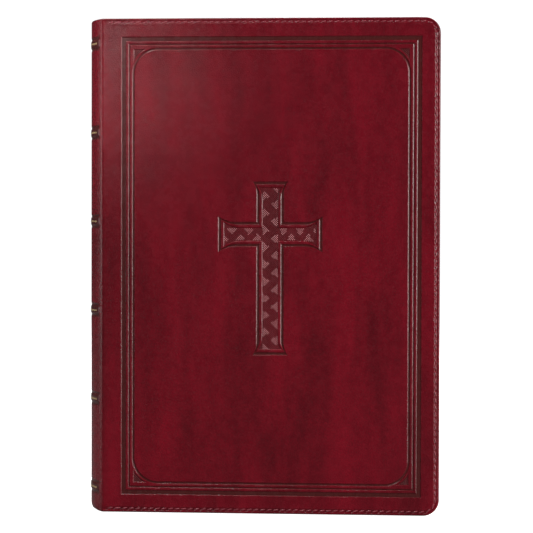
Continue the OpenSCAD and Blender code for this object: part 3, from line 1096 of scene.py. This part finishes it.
# Leaf by leaf: each one's cut edge is a small rounded step, deeper grooves part the sections
def leafBlock(name, first):
    layers = []
    for s in range(leaves["sections"]):
        node = "section_%02d" % (first + s + 1)
        y0, y1 = side(node, 0, 1), side(node, 1, 1)
        thick = (y1 - y0) / leaves["perSection"]
        for n in range(leaves["perSection"]):
            trim = dice.uniform(0, leaves["trim"])
            low, high = y0 + n * thick, y0 + (n + 1) * thick
            dip = leaves["groove"] + (0.16 if n == 0 else 0.0)
            layers += [(low + 0.02, trim + dip), (low + 0.1, trim + 0.02), (high - 0.1, trim)]
        layers.append((y1, trim + 0.2))
    bend = leaves["bend"]
    near = [bend * k / 16 for k in range(17)]
    far = leafWidth - leaves["foldMin"] - bend
    shares = [0, 0.12, 0.26, 0.4, 0.54, 0.68, 0.82, 1.0]
    zs = [leafLow, leafLow + 0.8] + [leafLow + 0.8 + (leafHigh - leafLow - 1.6) * k / 9 for k in range(1, 9)]
    zs += [leafHigh - 0.8, leafHigh]

    def xsAt(y):
        last = foreEdge(y)
        span = last - hingeX
        xs = [hingeX + n for n in near] + [hingeX + bend + (span - bend) * f for f in shares[1:]]
        return xs[:-1] + [last - 0.8, last]

    columns, rowsUp = len(xsAt(0)), len(zs)
    points, places, edge, faces = [], [], [], []
    index = {}

    def put(key, x, y, z, e):
        index[key] = len(points)
        points.append((x, y, z))
        places.append((x, y, z))
        edge.append(e)

    rim = [(i, 0) for i in range(columns)] + [(columns - 1, j) for j in range(1, rowsUp)]
    rim += [(i, rowsUp - 1) for i in range(columns - 2, -1, -1)] + [(0, j) for j in range(rowsUp - 2, 0, -1)]
    for k, (y, trim) in enumerate(layers):
        xs = xsAt(y)
        for i, j in rim:
            x, z = xs[i], zs[j]
            if i == columns - 1:
                x -= trim
            if j == 0:
                z += trim
            if j == rowsUp - 1:
                z -= trim
            put((k, i, j), x, y, z, 1.0)
    for k in (0, len(layers) - 1):
        y = layers[k][0]
        xs = xsAt(y)
        for i in range(1, columns - 1):
            for j in range(1, rowsUp - 1):
                put((k, i, j), xs[i], y, zs[j], 0.0)
        for i in range(columns - 1):
            for j in range(rowsUp - 1):
                faces.append((index[k, i, j], index[k, i + 1, j], index[k, i + 1, j + 1], index[k, i, j + 1]))
    for k in range(len(layers) - 1):
        for a, b in zip(rim, rim[1:] + rim[:1]):
            faces.append((index[(k, *a)], index[(k, *b)], index[(k + 1, *b)], index[(k + 1, *a)]))
    return makePiece(name, points, faces, leafEdges, {"edge": edge}, {"place": places}, 50)


for group in range(leaves["groups"]):
    word = "front" if group < leaves["groups"] // 2 else "back"
    number = group + 1 if word == "front" else leaves["groups"] - group
    first = group * leaves["sections"]
    block = leafBlock(word + "Leaves%d" % number, first)
    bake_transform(block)
    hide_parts(*["section_%02d" % (first + n + 1) for n in range(leaves["sections"])])
print("leaves made")

endpaper = {"bend": 24.0, "wave": 0.05, "cornerR": 1.5}


# A sheet with slightly round corners, wavy by less than its gap to the next leaf
def paperSheet(name, node, material):
    (x0, y0, z0), (x1, y1, z1) = [tuple(c / mm for c in corner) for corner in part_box(node)]
    xs = [x0 + endpaper["bend"] * k / 14 for k in range(15)]
    xs += [xs[-1] + (x1 - xs[-1]) * k / 16 for k in range(1, 17)]
    zs = [z0 + (z1 - z0) * k / 24 for k in range(25)]
    outer, inner = [], []
    r = endpaper["cornerR"]
    for z in zs:
        for x in xs:
            dx, dz = max(0.0, x - (x1 - r)), max(0.0, r - (z - z0), r - (z1 - z))
            pull = 1.0 if dx * dx + dz * dz <= r * r else r / math.hypot(dx, dz)
            px = min(x, x1 - r) + dx * pull if dx else x
            pz = z if not dz else (z0 + r - dz * pull if z < height / 2 else z1 - r + dz * pull)
            wave = endpaper["wave"] * noise.noise(Vector((x / 30, z / 30, y0))) * smooth((x - x0) / 10)
            outer.append((px, y0 + wave, pz))
            inner.append((px, y1 + wave, pz))
    return makePiece(name, outer + inner, shellFaces(len(zs), len(xs)), material)


for word in ("front", "back"):
    sheet = paperSheet(word + "Flyleaf", word + "_flyleaf", made["endpaperLaid"])
    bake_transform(sheet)
    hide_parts(word + "_flyleaf")
    pasted = paperSheet(word + "Pastedown", word + "_pastedown", made["endpaperLaid"])
    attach(pasted, word + "_cover")
    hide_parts(word + "_pastedown")
print("endpapers made")

headband = {"thread": 0.5, "core": 0.82, "pitch": 0.52, "tape": 12.0}
backR = spineR - leaves["backIn"]
bandAngle = math.asin((-side("section_01", 0, 1) - 2.85) / (spineR - 2.3))


def makeWrapTree(name, material):
    tree, given = newTree(name, ["Pitch", "Ring radius", "Thread radius"])
    tangent = addNode(tree, "GeometryNodeInputTangent")
    wrap = addNode(
        tree, "GeometryNodeCurveToMesh", {},
        {"Curve": circle(tree, 14, given["Ring radius"]),
         "Profile Curve": circle(tree, 6, given["Thread radius"])},
    )
    return finishTree(
        tree, spacedLine(tree, given), wrap.outputs[0], facing(tree, tangent.outputs[0]), material
    )


wrapTrees = {word: makeWrapTree("wrap" + word, made["silkThread" + word]) for word in ("Gold", "Burgundy")}


def arcPoint(radius, angle, z):
    return (spineX - radius * math.cos(angle), radius * math.sin(angle), z)


# A glued tape with a cord on it, wound with two colours of silk
def makeHeadband(name, node, cordZ, tapeZ):
    cordR = backR - 0.55
    steps = 40
    angles = [bandAngle * (2 * k / steps - 1) for k in range(steps + 1)]
    outer = [arcPoint(backR + 0.28, a, z) for z in (tapeZ, cordZ) for a in angles]
    inner = [arcPoint(backR + 0.02, a, z) for z in (tapeZ, cordZ) for a in angles]
    tape = makePiece(name + "Tape", outer + inner, shellFaces(2, steps + 1), mullCloth)
    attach(tape, "spine")
    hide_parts(node)
    core = headband["core"]
    points = []
    for a in angles:
        for k in range(10):
            turn = 2 * math.pi * k / 10
            points.append(arcPoint(cordR + core * math.cos(turn), a, cordZ + core * math.sin(turn)))
    faces = gridFaces(steps + 1, 10, closed=True)
    faces += [tuple(range(10)), tuple(range(steps * 10, steps * 10 + 10))]
    cordPiece = makePiece(name + "Core", points, faces, made["silkThreadGold"])
    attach(cordPiece, "spine")
    for n, (word, tree) in enumerate(wrapTrees.items()):
        shift = n * headband["pitch"] / cordR
        line = [arcPoint(cordR, a * 0.97 + shift, cordZ) for a in angles]
        wraps = grow(
            name + word, line, [(k, k + 1) for k in range(steps)], tree,
            {"Pitch": 2 * headband["pitch"] * mm, "Ring radius": core * mm,
             "Thread radius": headband["thread"] / 2 * mm},
        )
        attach(wraps, "spine")


makeHeadband("headBand", "head_band", leafHigh + 1.1, leafHigh - headband["tape"])
makeHeadband("tailBand", "tail_band", leafLow - 1.1, leafLow + headband["tape"])
print("headbands made")

# Hidden parts keep the frame's own shapes and only get a finish
keptFinishes = {
    "spine_stiffener": made["bindersCardPressed"],
    "spine_bands": made["bindersCardPressed"],
    "spine_lining": made["kraftPaperRolled"],
    "spine_mull": mullCloth,
    "section_folds": made["bookPaperUncoated"],
    "front_cover_board": made["bindersCardPressed"],
    "back_cover_board": made["bindersCardPressed"],
}
for name, material in keptFinishes.items():
    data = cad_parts[name].data
    data.materials.clear()
    data.materials.append(material)
print("kept parts painted")

studio = {
    "cameraAzimuth": 4.27, "cameraElevation": 1.17, "cameraDistance": 0.97, "fieldOfView": 15.63,
    "roll": 0.141, "aim": (0.00274, -0.02, 0.12397), "lampsAim": (0, 0, 0.12),
    "aroundLight": 0.06, "backdropLight": 1.05,
}
# Each softbox: place, size, power and colour
softboxes = {
    "softboxRight": ((1.35, -0.72, 0.3), (0.3, 0.9), 29, (1.0, 0.98, 0.96)),
    "softboxTop": ((-0.55, -0.6, 1.35), (0.3, 0.25), 12, (1.0, 0.98, 0.96)),
    "softboxLeft": ((-1.3, -0.05, 0.3), (0.4, 0.7), 5, (1.0, 0.98, 0.97)),
    "softboxHaze": ((-0.38, -1.15, 0.47), (0.18, 0.18), 0.7, (1.0, 0.98, 0.97)),
    "softboxBack": ((0.3, 1.3, 1.0), (0.9, 0.6), 14, (1.0, 1.0, 1.0)),
}


def hangLamp(name, kind, place, target, power, colour, settings):
    data = bpy.data.lights.new(name, kind)
    for key, value in settings.items():
        setattr(data, key, value)
    data.energy = power
    data.color = colour
    lamp = bpy.data.objects.new(name, data)
    lamp.location = place
    lamp.rotation_euler = (Vector(target) - Vector(place)).to_track_quat("-Z", "Y").to_euler()
    bpy.context.scene.collection.objects.link(lamp)


for name, (place, (wide, tall), power, colour) in softboxes.items():
    shape = {"shape": "RECTANGLE", "size": wide, "size_y": tall}
    hangLamp(name, "AREA", place, studio["lampsAim"], power, colour, shape)
# A small focused lamp brightens the head corner next to the spine
hangLamp(
    "cornerLamp", "SPOT", (-0.5, -1.08, 0.56), (-0.099, -0.02, 0.237), 42, (1.0, 0.97, 0.96),
    {"spot_size": math.radians(6.4), "spot_blend": 1.0, "shadow_soft_size": 0.05},
)


# The camera sees one shader and every other ray meets the dimmer one
def splitRays(tree, others, forCamera, outputKind):
    rays = addNode(tree, "ShaderNodeLightPath")
    either = addNode(
        tree, "ShaderNodeMixShader", {},
        {0: rays.outputs["Is Camera Ray"], 1: others.outputs[0], 2: forCamera.outputs[0]},
    )
    addNode(tree, outputKind, {}, {"Surface": either.outputs[0]})


world = bpy.data.worlds.new("whiteStudio")
world.use_nodes = True
bpy.context.scene.world = world
tree = world.node_tree
tree.nodes.clear()
dim, bright = (
    addNode(tree, "ShaderNodeBackground", {}, {"Color": (1, 1, 1, 1), "Strength": studio[key]})
    for key in ("aroundLight", "backdropLight")
)
splitRays(tree, dim, bright, "ShaderNodeOutputWorld")

floorData = bpy.data.meshes.new("floor")
floorCorners = [(x, y, -0.0004) for x, y in ((-4, -4), (4, -4), (4, 4), (-4, 4))]
floorData.from_pydata(floorCorners, [], [(0, 1, 2, 3)])
floor = bpy.data.objects.new("floor", floorData)
bpy.context.scene.collection.objects.link(floor)
floorPaint = bpy.data.materials.new("floorPaintMatt")
floorPaint.use_nodes = True
tree = floorPaint.node_tree
tree.nodes.clear()
matt, dull = (
    addNode(tree, "ShaderNodeBsdfDiffuse", {}, {"Color": (grey, grey, grey, 1)}) for grey in (0.85, 0.25)
)
glow = addNode(tree, "ShaderNodeEmission", {}, {"Color": (1, 1, 1, 1), "Strength": 1.0})
both = addNode(tree, "ShaderNodeAddShader", {}, {0: matt.outputs[0], 1: glow.outputs[0]})
splitRays(tree, dull, both, "ShaderNodeOutputMaterial")
floorData.materials.append(floorPaint)

cameraData = bpy.data.cameras.new("camera")
cameraData.angle = math.radians(studio["fieldOfView"])
camera = bpy.data.objects.new("camera", cameraData)
bpy.context.scene.collection.objects.link(camera)
aim = Vector(studio["aim"])
a, e = math.radians(studio["cameraAzimuth"]), math.radians(studio["cameraElevation"])
away = Vector((math.sin(a) * math.cos(e), -math.cos(a) * math.cos(e), math.sin(e)))
camera.location = aim + away * studio["cameraDistance"]
camera.rotation_euler = (-away).to_track_quat("-Z", "Y").to_euler()
camera.rotation_euler.rotate_axis("Z", math.radians(studio["roll"]))
bpy.context.scene.camera = camera
bpy.context.scene.view_settings.view_transform = "Standard"

print("scene ready")
